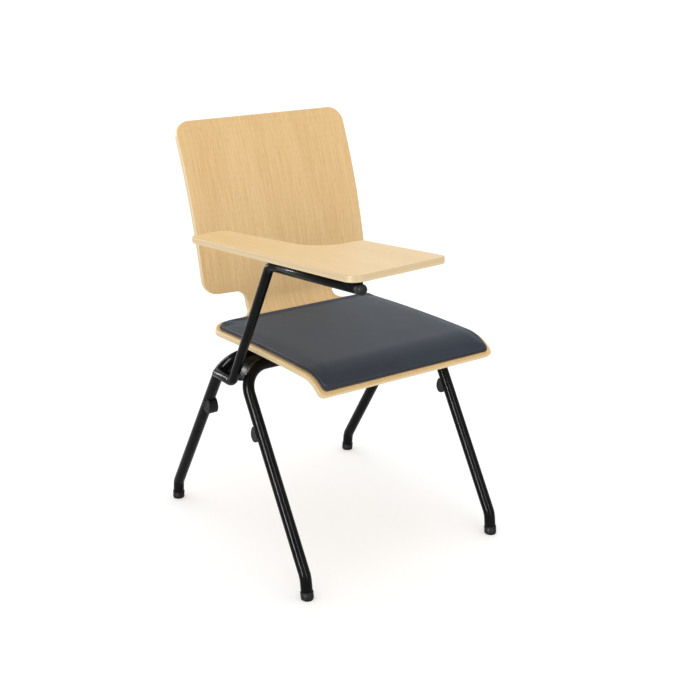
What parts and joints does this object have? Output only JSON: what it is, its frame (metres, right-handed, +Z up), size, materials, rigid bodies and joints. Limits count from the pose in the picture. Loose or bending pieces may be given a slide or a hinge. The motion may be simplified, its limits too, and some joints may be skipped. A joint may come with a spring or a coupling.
{
  "type": "student desk chair",
  "caption": "Stacking classroom chair with crossed tube leg frames, a bent plywood seat and back, a padded seat, and a writing tablet that hinges up on an arm at the sitter's right.",
  "frame": {"origin": "on the floor, below the middle of the overall box", "axes": "+Z up, -Y towards the front of the chair, +X towards the sitter's left"},
  "size_m": [0.5414, 0.743, 0.8629],
  "materials": {
    "powder_coat": "satin black powder coat",
    "black_plastic": "moulded, matte",
    "steel": "zinc plated",
    "shell_beech": "clear satin lacquer over beech veneer",
    "tablet_beech": "clear satin lacquer over pale beech veneer",
    "pad_cloth": "smooth blue-grey upholstery",
    "raw_board": "unfinished thin board",
    "bush_plastic": "black acetal"
  },
  "bodies": {
    "chair": {"front_leg_frame": "powder_coat", "rear_leg_frame": "powder_coat", "foot_cap_front_right": "black_plastic", "foot_cap_front_left": "black_plastic", "foot_cap_rear_right": "black_plastic", "foot_cap_rear_left": "black_plastic", "stacking_buffer_front_right": "black_plastic", "stacking_buffer_front_left": "black_plastic", "stacking_buffer_rear_right": "black_plastic", "stacking_buffer_rear_left": "black_plastic", "shoulder_web_right": "powder_coat", "shoulder_web_left": "powder_coat", "seat_back_shell": "shell_beech", "pad_board": "raw_board", "seat_pad": "pad_cloth", "mounting_plate_right": "powder_coat", "mounting_plate_left": "powder_coat", "shell_spacer_front_right": "black_plastic", "shell_spacer_front_left": "black_plastic", "shell_spacer_rear_right": "black_plastic", "shell_spacer_rear_left": "black_plastic", "shell_screw_front_right": "steel", "shell_screw_front_left": "steel", "shell_screw_rear_right": "steel", "shell_screw_rear_left": "steel", "tee_nut_front_right": "steel", "tee_nut_front_left": "steel", "tee_nut_rear_right": "steel", "tee_nut_rear_left": "steel", "tablet_arm": "powder_coat", "tablet_spindle": "steel", "stop_pin": "steel", "pivot_bush_rear": "bush_plastic", "pivot_bush_front": "bush_plastic", "arm_end_cap": "black_plastic"},
    "tablet": {"hinge_tube": "powder_coat", "hinge_plate_rear": "powder_coat", "hinge_plate_front": "powder_coat", "tablet_screw_rear_outer": "steel", "tablet_screw_rear_inner": "steel", "tablet_screw_front_outer": "steel", "tablet_screw_front_inner": "steel", "tablet_board": "tablet_beech"}
  },
  "joints": [
    {"name": "tablet_hinge", "type": "hinge", "parent": "chair", "child": "tablet", "pos_m": [-0.23211, -0.09753, 0.6603], "axis": [0.0644, -0.9962, 0.0593], "range_deg": [0, 97]}
  ]
}
